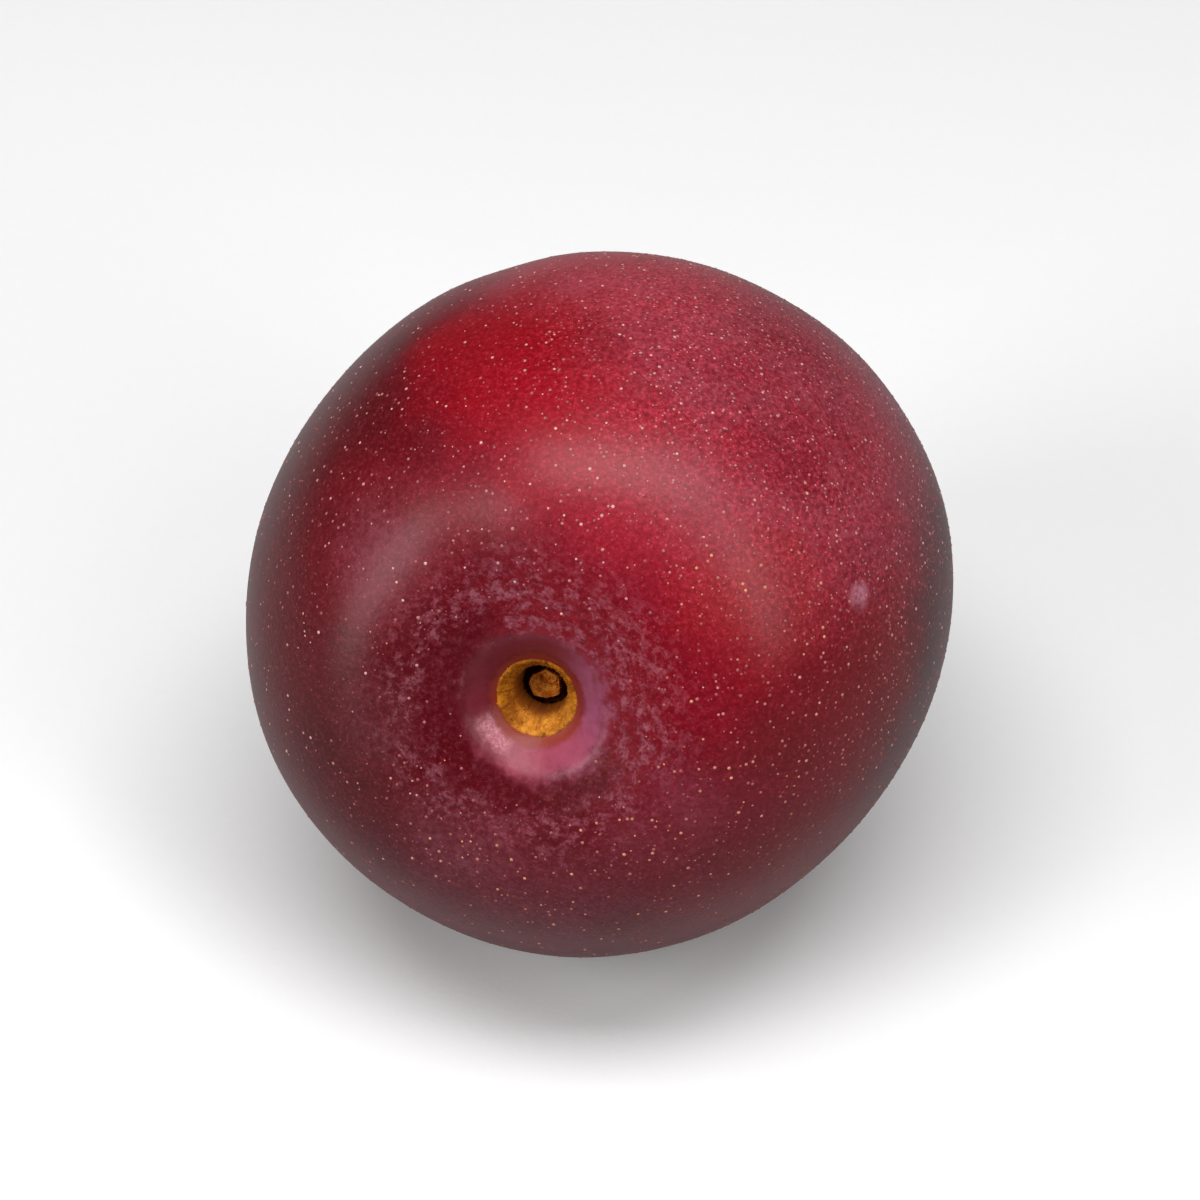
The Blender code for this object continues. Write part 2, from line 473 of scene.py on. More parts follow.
class Effects:
    """The shader node groups that several finishes share."""

    FAR = 60.0

    def __init__(self, seat: Matrix) -> None:
        """Build every group.

        Args:
            seat: The matrix from the fruit's frame to the row frame.
        """
        self.core = self._core(seat)
        self.patch = self._patch()
        self.dust = self._dust()
        self.rays = self._rays()
        self.pins = self._pins()

    @staticmethod
    def _open(
        name: str, inputs: dict[str, float | None], outputs: dict[str, str]
    ) -> tuple[Graph, Sockets, Sockets]:
        """Start a group.

        Args:
            name: The group's name.
            inputs: The usual value by input name, or None for a vector.
            outputs: The socket kind by output name.

        Returns:
            The graph inside, what the group is given and where its results go.
        """
        tree = bpy.data.node_groups.new(name, "ShaderNodeTree")
        for label, usual in inputs.items():
            kind = "Vector" if usual is None else "Float"
            socket = tree.interface.new_socket(
                label, in_out="INPUT", socket_type=f"NodeSocket{kind}"
            )
            if usual is not None:
                socket.default_value = usual
        for label, kind in outputs.items():
            tree.interface.new_socket(label, in_out="OUTPUT", socket_type=f"NodeSocket{kind}")
        graph = Graph(tree)
        return graph, graph.node("NodeGroupInput").outputs, graph.node("NodeGroupOutput").inputs

    def _core(self, seat: Matrix) -> bpy.types.NodeTree:
        """Turn Object coordinates into the fruit's frame, in millimetres.

        Radius is the distance from the core on the stalk's half, and Tail on the other half.
        Each is pushed far out on the half that it doesn't belong to.
        """
        kinds = {
            "Place": "Vector",
            "Direction": "Vector",
            "Ring": "Vector",
            "Radius": "Float",
            "Tail": "Float",
            "Height": "Float",
            "Wander": "Float",
        }
        graph, given, result = self._open("core frame", {"Position": None}, kinds)
        turned = graph.made(
            "ShaderNodeMapping",
            {
                "Vector": given["Position"],
                "Location": seat.to_translation(),
                "Rotation": tuple(seat.to_euler()),
                "Scale": (MM, MM, MM),
            },
            vector_type="TEXTURE",
        )
        place = turned.outputs["Vector"]
        flat = graph.vector("MULTIPLY", place, (1.0, 1.0, 0.0))
        graph.feed(result["Place"], place)
        direction = graph.vector("NORMALIZE", place)
        graph.feed(result["Direction"], direction)
        graph.feed(result["Wander"], graph.wobble(direction, 4.5, 2.0, 0.55))
        graph.feed(result["Ring"], graph.vector("NORMALIZE", flat))
        radius = graph.vector("LENGTH", flat, output="Value")
        height = graph.made("ShaderNodeSeparateXYZ", {"Vector": place}).outputs["Z"]
        below = graph.math("LESS_THAN", height, 0.0)
        graph.feed(result["Radius"], graph.line(below, self.FAR, radius))
        graph.feed(result["Tail"], graph.line(graph.math("SUBTRACT", 1.0, below), self.FAR, radius))
        graph.feed(result["Height"], height)
        return graph.tree

    def _patch(self) -> bpy.types.NodeTree:
        """A soft round place on the fruit whose edge wanders, by angles in degrees."""
        inputs = {
            "Direction": None,
            "Centre": None,
            "Wander": 0.0,
            "Reach": 20.0,
            "Softness": 8.0,
            "Ragged": 6.0,
        }
        graph, given, result = self._open("soft patch", inputs, {"Mask": "Float"})
        nearness = graph.math(
            "MINIMUM",
            graph.vector("DOT_PRODUCT", given["Direction"], given["Centre"], "Value"),
            1.0,
        )
        angle = graph.math("DEGREES", graph.math("ARCCOSINE", nearness))
        angle = graph.line(given["Wander"], graph.times(given["Ragged"], 2.0), angle)
        inner = graph.math("SUBTRACT", given["Reach"], given["Softness"])
        outer = graph.math("ADD", given["Reach"], given["Softness"])
        graph.feed(result["Mask"], graph.fade(angle, inner, outer, 1.0, 0.0))
        return graph.tree

    def _dust(self) -> bpy.types.NodeTree:
        """Grains of waxy dust: how much of the surface they cover and how hard their edges are."""
        inputs = {"Place": None, "Grain": 0.9, "Cover": 0.5, "Hardness": 0.5}
        graph, given, result = self._open("dust", inputs, {"Mask": "Float"})
        scale = graph.math("DIVIDE", 1.0, given["Grain"])
        lumps = graph.noise(given["Place"], scale, 3.0, 0.72)
        edge = graph.line(given["Hardness"], -0.17, 0.2)
        middle = graph.line(given["Cover"], -0.4, 0.7)
        low, high = graph.math("SUBTRACT", middle, edge), graph.math("ADD", middle, edge)
        graph.feed(result["Mask"], graph.fade(lumps, low, high))
        return graph.tree

    def _rays(self) -> bpy.types.NodeTree:
        """Streaks that run out from the core."""
        inputs = {"Ring": None, "Radius": 1.0, "Count": 8.0, "Stretch": 0.4}
        graph, given, result = self._open("rays", inputs, {"Mask": "Float"})
        round_core = graph.scaled(given["Ring"], given["Count"])
        along = graph.upright(graph.times(given["Radius"], given["Stretch"]))
        streaks = graph.noise(graph.vector("ADD", round_core, along), 1.0, 2.0, 0.5)
        graph.feed(result["Mask"], graph.fade(streaks, 0.30, 0.72))
        return graph.tree

    def _pins(self) -> bpy.types.NodeTree:
        """Scattered round dots, one at most in each cell, in millimetres."""
        inputs = {"Place": None, "Cell": 0.6, "Dot": 0.2, "Share": 0.4}
        graph, given, result = self._open("pins", inputs, {"Mask": "Float"})
        cells = graph.made(
            "ShaderNodeTexVoronoi",
            {"Vector": given["Place"], "Scale": graph.math("DIVIDE", 1.0, given["Cell"])},
        )
        share = graph.node("ShaderNodeSeparateColor")
        graph.feed(share.inputs[0], cells.outputs["Color"])
        chosen = graph.math("LESS_THAN", share.outputs[0], given["Share"])
        size = graph.times(given["Dot"], graph.line(share.outputs[1], 0.8, 0.6))
        dot = graph.fade(cells.outputs["Distance"], graph.times(size, 0.5), size, 1.0, 0.0)
        graph.feed(result["Mask"], graph.times(dot, chosen))
        return graph.tree


class Finish:
    """What every finish shares: a material whose surface is one Principled shader."""

    name: str

    def open(self, effects: Effects) -> tuple[Material, Graph, Node, Node]:
        """Start the material.

        Args:
            effects: The shared node groups.

        Returns:
            The material, its graph, its shader and its core frame node.
        """
        material = bpy.data.materials.new(self.name)
        material.use_nodes = True
        graph = Graph(material.node_tree)
        shader = material.node_tree.nodes["Principled BSDF"]
        where = graph.node("ShaderNodeTexCoord").outputs["Object"]
        return material, graph, shader, graph.group(effects.core, {"Position": where})


@dataclass(frozen=True)
class Patch:
    """A soft-edged place on the skin.

    Args:
        polar: Its angle from the stalk, in degrees.
        longitude: Its turn round the core, in degrees.
        reach: How far it spreads, in degrees.
        softness: Half the width of its edge, in degrees.
        ragged: How far the edge wanders, in degrees.
        strength: How much of it shows, from 0 to 1.
        colour: What it turns the skin to, where it has a colour.
    """

    polar: float
    longitude: float
    reach: float
    softness: float
    ragged: float
    strength: float
    colour: Colour | None = None

    def mask(self, graph: Graph, effects: Effects, core: Node) -> Socket:
        """Place the patch in a graph and return its mask times its strength."""
        polar, longitude = math.radians(self.polar), math.radians(self.longitude)
        centre = (
            math.sin(polar) * math.cos(longitude),
            math.sin(polar) * math.sin(longitude),
            math.cos(polar),
        )
        inputs = {
            "Direction": core.outputs["Direction"],
            "Wander": core.outputs["Wander"],
            "Centre": centre,
            "Reach": self.reach,
            "Softness": self.softness,
            "Ragged": self.ragged,
        }
        return graph.times(graph.group(effects.patch, inputs).outputs["Mask"], self.strength)


@dataclass(frozen=True)
class SkinFinish(Finish):
    """The plum's skin: wine red with a bright cheek, a dull waxy bloom and the stalk's zones, with
    painted shade on the right side and in the pit, and painted light on the halo, the dish's
    crimson and a glint in the cup.
    """

    name: str = "plum_skin_finish"
    wine: Colour = (0.140, 0.003, 0.012)
    cheeks_and_painted_shade: tuple[Patch, ...] = (
        Patch(64, 182, 58, 18, 14, 0.95, (0.082, 0.001, 0.003)),
        Patch(37, 138, 15, 8, 6, 0.55, (0.180, 0.005, 0.012)),
        Patch(92, 180, 36, 16, 12, 0.75, (0.058, 0.001, 0.003)),
        Patch(54, 232, 30, 14, 12, 0.75, (0.068, 0.002, 0.005)),
        Patch(58, 278, 34, 14, 10, 0.80, (0.086, 0.003, 0.009)),
        Patch(130, 240, 60, 26, 16, 0.60, (0.080, 0.002, 0.008)),
        # Painted shade, partly real: a dark wine cheek on the right side and lower right, painted
        # darker still for shade falling on that side.
        Patch(88, 4, 34, 15, 8, 0.95, (0.042, 0.001, 0.003)),
        Patch(96, 310, 42, 18, 10, 0.70, (0.082, 0.001, 0.005)),
        Patch(50, 12, 22, 10, 9, 0.80, (0.178, 0.001, 0.006)),
        Patch(56, 322, 20, 10, 9, 0.70, (0.150, 0.001, 0.006)),
        Patch(64, 68, 40, 12, 9, 0.94, (0.262, 0.008, 0.020)),
        Patch(88, 92, 22, 13, 9, 0.85, (0.390, 0.030, 0.046)),
        Patch(64, 106, 14, 11, 8, 0.90, (0.262, 0.001, 0.006)),
        Patch(52, 94, 11, 9, 6, 0.70, (0.300, 0.001, 0.008)),
        Patch(30, 30, 13, 8, 7, 0.80, (0.210, 0.001, 0.009)),
        Patch(62, 10, 10, 7, 6, 0.60, (0.160, 0.001, 0.004)),
        Patch(43, 36, 10, 8, 5, 0.60, (0.310, 0.018, 0.020)),
        Patch(44, 66, 12, 8, 5, 0.55, (0.330, 0.008, 0.020)),
        Patch(104, 44, 13, 12, 12, 0.60, (0.180, 0.040, 0.062)),
        Patch(150, 60, 36, 20, 12, 0.70, (0.140, 0.004, 0.014)),
    )
    blooms: tuple[Patch, ...] = (
        Patch(74, 54, 34, 14, 8, 0.15),
        Patch(88, 92, 18, 11, 8, 0.15),
        Patch(107, 46, 7, 6.5, 16, 0.34),
        Patch(101, 36, 5, 5, 14, 0.26),
        Patch(57.6, 24.3, 2.0, 1.4, 3, 0.95),
        Patch(35, 142, 9, 8, 6, 0.12),
        Patch(58, 275, 36, 16, 10, 0.07),
        Patch(25, 252, 10, 6, 6, 0.11),
        Patch(25, 196, 8, 5, 6, 0.06),
        Patch(28, 328, 9, 6, 6, 0.10),
        Patch(130, 330, 46, 24, 14, 0.16),
        Patch(125, 200, 40, 22, 14, 0.14),
    )
    crowd: Patch = Patch(84, 52, 42, 16, 10, 1.0)
    bloom_colour: Colour = (0.430, 0.150, 0.205)
    # Dark rubbed red of the worn ring; also the painted shade side of the dish's crimson.
    rubbed_and_painted_shade_colour: Colour = (0.082, 0.0005, 0.004)
    # Painted light: the lit side of the dish's crimson.
    crimson_lit_colour: Colour = (0.155, 0.0006, 0.006)
    dull_colour: Colour = (0.200, 0.022, 0.038)
    lavender_colour: Colour = (0.300, 0.076, 0.150)
    pink_colour: Colour = (0.340, 0.060, 0.096)
    # Painted highlight: colour of the wet-looking glint in the cup.
    painted_glint_colour: Colour = (0.640, 0.270, 0.310)
    # Painted light: the halo's colour on its lit side, and below it on its shaded side.
    halo_lit_colour: Colour = (0.255, 0.036, 0.020)
    halo_shaded_colour: Colour = (0.190, 0.018, 0.010)
    cork_colour: Colour = (0.430, 0.140, 0.008)
    # Painted shade: the cork darkens towards this colour deeper down the pit.
    pit_painted_shade_colour: Colour = (0.200, 0.048, 0.004)
    fleck_colour: Colour = (0.660, 0.250, 0.260)
    rim_colour: Colour = (0.260, 0.070, 0.060)
    scar_colour: Colour = (0.120, 0.045, 0.020)
    bloom_least: float = 0.01
    cork_radius: float = 2.75
    # Heights in millimetres where the pit's painted shade begins and where it is full.
    pit_shade_heights: Zone = (20.4, 19.0)
    pore_height: float = 0.018 * MM
    ior: float = 1.40
    specular: float = 0.30
    sheen: float = 0.01
    sheen_roughness: float = 0.45
    sheen_tint: tuple[float, float, float, float] = (0.90, 0.72, 0.80, 1.0)

    def material(self, effects: Effects) -> Material:
        """Build the finish.

        Args:
            effects: The shared node groups.

        Returns:
            The material.
        """
        material, graph, shader, core = self.open(effects)
        place = core.outputs["Place"]
        grains = graph.group(
            effects.dust, {"Place": place, "Grain": 0.50, "Cover": 0.5, "Hardness": 0.0}
        ).outputs["Mask"]
        crowd = self.crowd.mask(graph, effects, core)
        colour = self.ground(graph, effects, core)
        bloom = self.bloom_amount(graph, effects, core, grains)
        colour, bloom = self.hollow(graph, colour, bloom, grains, core)
        colour = self.speckle(graph, colour, grains, crowd, core)
        colour = graph.mix(bloom, colour, self.bloom_colour)
        colour = self.collar(graph, effects, colour, core)
        colour = self.flecks(graph, effects, colour, crowd, core)
        colour, corky = self.funnel(graph, colour, core)
        colour = self.blossom_scar(graph, colour, core)
        rough = graph.line(bloom, 0.45, 0.33)
        rough = graph.larger(rough, graph.times(corky, 0.85))
        graph.feed(shader.inputs["Base Color"], colour)
        graph.feed(shader.inputs["Roughness"], rough)
        graph.feed(shader.inputs["Normal"], self.relief(graph, place))
        shader.inputs["IOR"].default_value = self.ior
        shader.inputs["Specular IOR Level"].default_value = self.specular
        shader.inputs["Sheen Weight"].default_value = self.sheen
        shader.inputs["Sheen Roughness"].default_value = self.sheen_roughness
        shader.inputs["Sheen Tint"].default_value = self.sheen_tint
        return material

    def ground(self, graph: Graph, effects: Effects, core: Node) -> Socket:
        """Return the skin's colour under the bloom: wine, the cheeks, painted shade on the right
        side and lower right, and slow clouds.
        """
        clouds = graph.noise(core.outputs["Place"], 0.13, 2.0, 0.6)
        colour = self.wine
        for cheek in self.cheeks_and_painted_shade:
            colour = graph.mix(cheek.mask(graph, effects, core), colour, cheek.colour)
        darker = graph.mix(1.0, colour, (0.62, 0.5, 0.55), "MULTIPLY")
        return graph.mix(graph.fade(clouds, 0.45, 0.70, 0.0, 0.40), colour, darker)

    def bloom_amount(self, graph: Graph, effects: Effects, core: Node, grains: Socket) -> Socket:
        """Return how much waxy bloom lies on the skin, from 0 to 1."""
        amount = self.bloom_least
        for bloom in self.blooms:
            amount = graph.larger(bloom.mask(graph, effects, core), amount)
        worn = graph.line(grains, 0.9, 0.4)
        broad = graph.fade(core.outputs["Wander"], -0.20, 0.15, 0.45, 1.4)
        return graph.times(graph.times(amount, worn), broad)

    def hollow(
        self, graph: Graph, colour: Value, bloom: Value, grains: Value, core: Node
    ) -> tuple[Socket, Socket]:
        """Add the dish round the stalk: dark grains, painted lighter on the side facing longitude
        40 and darker on the far side, mauve dust between them and rubbed red.

        Args:
            graph: Where the nodes go.
            colour: The skin's colour so far.
            bloom: The amount of bloom so far.
            grains: Where grains of dust lie.
            core: The core frame node.

        Returns:
            The colour and the amount of bloom.
        """
        place, ring, radius = (core.outputs[name] for name in ("Place", "Ring", "Radius"))
        around = graph.upright(graph.times(radius, 0.75))
        hoops = graph.noise(graph.vector("ADD", graph.scaled(place, 0.70), around), 1.25, 4.0, 0.74)
        wobble = graph.wobble(place, 0.55, 2.0, 0.65)
        loose = graph.line(wobble, 3.0, radius)
        dish = graph.times(graph.fade(loose, 8.5, 14.5, 1.0, 0.0), graph.fade(radius, 4.6, 6.0))
        crimson = graph.times(dish, graph.fade(hoops, 0.58, 0.44, 0.0, 0.90))
        crimson = graph.larger(crimson, graph.times(dish, graph.fade(grains, 0.0, 0.6, 0.34, 0.0)))
        # Painted light: between the grains the dish is crimson on the side facing longitude 40 and
        # near-black red, painted shade, on the far side.
        between = graph.mix(
            graph.facing(ring, 40, -0.5, 0.8), self.rubbed_and_painted_shade_colour, self.crimson_lit_colour
        )
        colour = graph.mix(crimson, colour, between)
        side = graph.larger(graph.facing(ring, 200, -0.15, 0.5), graph.facing(ring, 275, 0.25, 0.8))
        rubbed = graph.times(graph.fade(loose, 4.9, 5.7), graph.fade(loose, 7.4, 9.2, 1.0, 0.0))
        rubbed = graph.times(graph.times(rubbed, side), graph.fade(grains, 0.55, 1.0, 0.97, 0.78))
        colour = graph.mix(rubbed, colour, self.rubbed_and_painted_shade_colour)
        cloudy = graph.times(graph.fade(hoops, 0.45, 0.60), graph.line(grains, 0.36, 0.03))
        dusty = graph.times(dish, cloudy)
        return colour, graph.times(
            graph.larger(bloom, dusty), graph.fade(rubbed, 0.0, 0.9, 1.0, 0.15)
        )

    def speckle(
        self, graph: Graph, colour: Value, grains: Value, crowd: Value, core: Node
    ) -> Socket:
        """Make each grain of the skin darker or paler than the next, most on the crowded side.

        Args:
            graph: Where the nodes go.
            colour: The skin's colour so far.
            grains: Where grains of dust lie.
            crowd: Where the specks crowd.
            core: The core frame node.

        Returns:
            The colour.
        """
        fine = graph.noise(core.outputs["Place"], 3.4, 2.0, 0.75)
        far = graph.fade(core.outputs["Radius"], 3.5, 7.0, 0.35, 1.0)
        dark = graph.times(graph.fade(fine, 0.50, 0.36), graph.line(crowd, 0.36, 0.38))
        dark = graph.math(
            "ADD", dark, graph.times(graph.fade(grains, 0.40, 0.0), graph.line(crowd, 0.04, 0.16))
        )
        pale = graph.times(graph.fade(fine, 0.53, 0.66), graph.line(crowd, 0.75, 0.36))
        pale = graph.math(
            "ADD", pale, graph.times(graph.fade(grains, 0.50, 1.0), graph.line(crowd, 0.12, 0.12))
        )
        colour = graph.mix(
            graph.times(dark, far), colour, graph.mix(1.0, colour, (0.50, 0.25, 0.35), "MULTIPLY")
        )
        lifted = graph.mix(
            1.0, graph.mix(1.0, colour, (1.45, 1.2, 1.2), "MULTIPLY"), (0.080, 0.022, 0.030), "ADD"
        )
        return graph.mix(graph.times(pale, far), colour, lifted)

    def collar(self, graph: Graph, effects: Effects, colour: Value, core: Node) -> Socket:
        """Add the cup's waxy collar: lavender at the right, pink below, dull above, and one painted
        highlight, a broken wet-looking glint on the lower left of the cup's wall.

        Args:
            graph: Where the nodes go.
            effects: The shared node groups.
            colour: The skin's colour so far.
            core: The core frame node.

        Returns:
            The colour.
        """
        place, ring, radius = (core.outputs[name] for name in ("Place", "Ring", "Radius"))
        ragged = graph.wobble(place, 0.85, 3.0, 0.68)
        inner = graph.line(ragged, 1.0, radius)
        outer = graph.line(graph.facing(ring, 190, 0.1, 0.9), 0.5, graph.line(ragged, 3.2, radius))
        band = graph.times(graph.fade(inner, 3.3, 4.0), graph.fade(outer, 4.6, 6.5, 1.0, 0.0))
        streaks = graph.group(
            effects.rays, {"Ring": ring, "Radius": radius, "Count": 7.0, "Stretch": 1.4}
        ).outputs["Mask"]
        worn = graph.line(streaks, -0.35, 1.0)
        colour = graph.mix(graph.times(band, 0.55), colour, self.dull_colour)
        for longitude, low, high, strength, shade in (
            (352, 0.05, 0.85, 0.88, self.lavender_colour), (280, 0.15, 0.92, 0.88, self.pink_colour)
        ):
            side = graph.times(
                graph.facing(ring, longitude, low, high), graph.times(worn, strength)
            )
            colour = graph.mix(graph.times(band, side), colour, shade)
        # Painted highlight: a broken pale glint on the cup's lower-left wall, standing in for a
        # reflection of the lamps.
        painted_glint = graph.times(
            graph.facing(ring, 228, 0.90, 0.99),
            graph.times(graph.fade(inner, 3.4, 3.8), graph.fade(inner, 4.3, 5.0, 1.0, 0.0)),
        )
        broken = graph.fade(graph.noise(place, 4.6, 3.0, 0.75), 0.36, 0.70)
        return graph.mix(
            graph.times(painted_glint, graph.line(broken, 0.62, 0.22)), colour, self.painted_glint_colour
        )

    def flecks(
        self, graph: Graph, effects: Effects, colour: Value, crowd: Value, core: Node
    ) -> Socket:
        """Scatter fine pale dots, dense on the crowded side."""
        pins = graph.group(
            effects.pins, {"Place": core.outputs["Place"], "Cell": 0.44, "Dot": 0.20, "Share": 0.60}
        ).outputs["Mask"]
        marks = graph.times(pins, graph.line(crowd, 0.72, 0.16))
        marks = graph.times(marks, graph.fade(core.outputs["Radius"], 5.5, 9.0))
        return graph.mix(marks, colour, self.fleck_colour)

    def funnel(self, graph: Graph, colour: Value, core: Node) -> tuple[Socket, Socket]:
        """Add the thin red halo, with painted light on its side facing longitude 285, the cork
        under the lining and painted shade that darkens the pit deeper down.

        Args:
            graph: Where the nodes go.
            colour: The skin's colour so far.
            core: The core frame node.

        Returns:
            The colour and the mask of what is corky.
        """
        place, ring, radius = (core.outputs[name] for name in ("Place", "Ring", "Radius"))
        wobble = graph.wobble(place, 1.3, 2.0, 0.6)
        near = graph.line(wobble, 0.9, radius)
        # Painted light: the halo is brighter and reaches a little further out on the side facing
        # longitude 285, and darker on the far side.
        lit = graph.facing(ring, 285, 0.1, 0.95)
        near = graph.line(lit, -0.30, near)
        red = graph.mix(lit, self.halo_shaded_colour, self.halo_lit_colour)
        colour = graph.mix(graph.fade(near, 3.2, 3.8, 0.90, 0.0), colour, red)
        corky = graph.math("LESS_THAN", radius, self.cork_radius)
        colour = graph.mix(corky, colour, self.cork_colour)
        # Painted shade: the cork darkens deeper down the pit.
        colour = graph.mix(
            graph.times(corky, graph.fade(core.outputs["Height"], *self.pit_shade_heights)),
            colour,
            self.pit_painted_shade_colour,
        )
        return colour, corky

    def blossom_scar(self, graph: Graph, colour: Value, core: Node) -> Socket:
        """Add the small dry scar at the blossom end, with a paler rim."""
        ragged = graph.wobble(core.outputs["Place"], 1.6, 2.0, 0.6)
        near = graph.line(ragged, 0.9, core.outputs["Tail"])
        colour = graph.mix(graph.fade(near, 0.9, 2.6, 0.40, 0.0), colour, self.rim_colour)
        return graph.mix(graph.fade(near, 0.45, 0.85, 0.95, 0.0), colour, self.scar_colour)

    def relief(self, graph: Graph, place: Value) -> Socket:
        """Return the normal: fine pores."""
        pores = graph.noise(place, 2.2, 2.0, 0.6)
        return graph.bump(pores, self.pore_height)


@dataclass(frozen=True)
class LenticelFinish(Finish):
    """The pale corky pores of the skin, each with its own tint and golden on two sides."""

    name: str = "lenticel_finish"
    tint_attribute: str = "tint"
    faint: Colour = (0.300, 0.060, 0.068)
    pale: Colour = (0.740, 0.410, 0.360)
    gold: Colour = (0.700, 0.290, 0.100)
    golden: tuple[Patch, Patch] = (Patch(46, 296, 48, 18, 12, 0.8), Patch(42, 32, 16, 10, 8, 0.8))

    def material(self, effects: Effects) -> Material:
        """Build the finish.

        Args:
            effects: The shared node groups.

        Returns:
            The material.
        """
        material, graph, shader, core = self.open(effects)
        tint = graph.node("ShaderNodeAttribute", attribute_name=self.tint_attribute).outputs["Fac"]
        below, beside = (patch.mask(graph, effects, core) for patch in self.golden)
        bright = graph.mix(graph.larger(below, beside), self.pale, self.gold)
        colour = graph.mix(graph.math("POWER", tint, 2.6), self.faint, bright)
        ragged = graph.noise(core.outputs["Place"], 9.0, 2.0, 0.6)
        graph.feed(
            shader.inputs["Base Color"],
            graph.mix(graph.fade(ragged, 0.4, 0.7, 0.0, 0.35), colour, self.faint),
        )
        graph.feed(shader.inputs["Roughness"], graph.fade(ragged, 0.3, 0.7, 0.5, 0.75))
        graph.feed(shader.inputs["Normal"], graph.bump(ragged, 0.02 * MM))
        return material


@dataclass(frozen=True)
class StalkFinish(Finish):
    """Dry corky tissue in amber, with grain and darker fissures, a painted highlight on its lit
    side and painted shade, browner, deeper down the funnel.
    """

    name: str
    light: Colour
    dark: Colour
    fissure: Colour
    pale: Colour
    grain_size: float
    # Painted shade deeper down: the height in millimetres where it is full, the height where it
    # begins, its colour and its strength.
    depth: tuple[float, float] = (19.1, 20.7)
    painted_depth_shade_colour: Colour = (0.200, 0.050, 0.005)
    shade: float = 0.90
    # Longitude of the lit side that is painted paler, a painted highlight.
    lit_side_longitude: float = 292.0
    specular: float = 0.12

    def material(self, effects: Effects) -> Material:
        """Build the finish.

        Args:
            effects: The shared node groups.

        Returns:
            The material.
        """
        material, graph, shader, core = self.open(effects)
        place, ring, radius, height = (
            core.outputs[name] for name in ("Place", "Ring", "Radius", "Height")
        )
        clouds = graph.noise(place, 1.1 / self.grain_size * 0.35, 4.0, 0.65)
        colour = graph.mix(graph.fade(clouds, 0.40, 0.60), self.dark, self.light)
        # Painted highlight: the lit side is mixed towards the pale colour.
        facing = graph.facing(ring, self.lit_side_longitude, 0.2, 0.95)
        colour = graph.mix(
            graph.times(facing, graph.fade(clouds, 0.3, 0.6, 0.35, 0.95)), colour, self.pale
        )
        grains = graph.group(
            effects.dust, {"Place": place, "Grain": self.grain_size, "Cover": 0.42, "Hardness": 0.5}
        ).outputs["Mask"]
        rays = graph.group(
            effects.rays, {"Ring": ring, "Radius": radius, "Count": 6.0, "Stretch": 0.5}
        ).outputs["Mask"]
        cracks = graph.times(grains, graph.line(rays, 0.50, 0.30))
        colour = graph.mix(cracks, colour, self.fissure)
        # Painted shade: darker and browner deeper down the funnel.
        deep = graph.fade(height, *reversed(self.depth), 0.0, self.shade)
        colour = graph.mix(deep, colour, self.painted_depth_shade_colour)
        graph.feed(shader.inputs["Base Color"], colour)
        graph.feed(shader.inputs["Roughness"], graph.fade(grains, 0.0, 1.0, 0.58, 0.85))
        rough = graph.math(
            "ADD", graph.noise(place, 2.0 / self.grain_size, 4.0, 0.7), graph.times(rays, 0.5)
        )
        graph.feed(shader.inputs["Normal"], graph.bump(rough, 0.06 * MM))
        shader.inputs["Specular IOR Level"].default_value = self.specular
        return material


@dataclass(frozen=True)
class FloorFinish(Finish):
    """Matt white paper board with a very faint tooth, which throws little light at the fruit."""

    name: str = "paper_board"
    white: Colour = (0.95, 0.95, 0.95)
    dull: Colour = (0.93, 0.93, 0.935)
    bounce: Colour = (0.48, 0.48, 0.48)
    tooth_height: float = 0.02 * MM
    roughness: float = 0.85
    specular: float = 0.2

    def material(self) -> Material:
        """Build the finish and return it."""
        material = bpy.data.materials.new(self.name)
        material.use_nodes = True
        graph = Graph(material.node_tree)
        shader = material.node_tree.nodes["Principled BSDF"]
        where = graph.node("ShaderNodeTexCoord").outputs["Object"]
        seen = graph.node("ShaderNodeLightPath").outputs["Is Camera Ray"]
        tooth = graph.noise(where, 900.0, 3.0, 0.6)
        graph.feed(
            shader.inputs["Base Color"],
            graph.mix(seen, self.bounce, graph.mix(tooth, self.white, self.dull)),
        )
        graph.feed(shader.inputs["Normal"], graph.bump(tooth, self.tooth_height))
        shader.inputs["Roughness"].default_value = self.roughness
        shader.inputs["Specular IOR Level"].default_value = self.specular
        return material


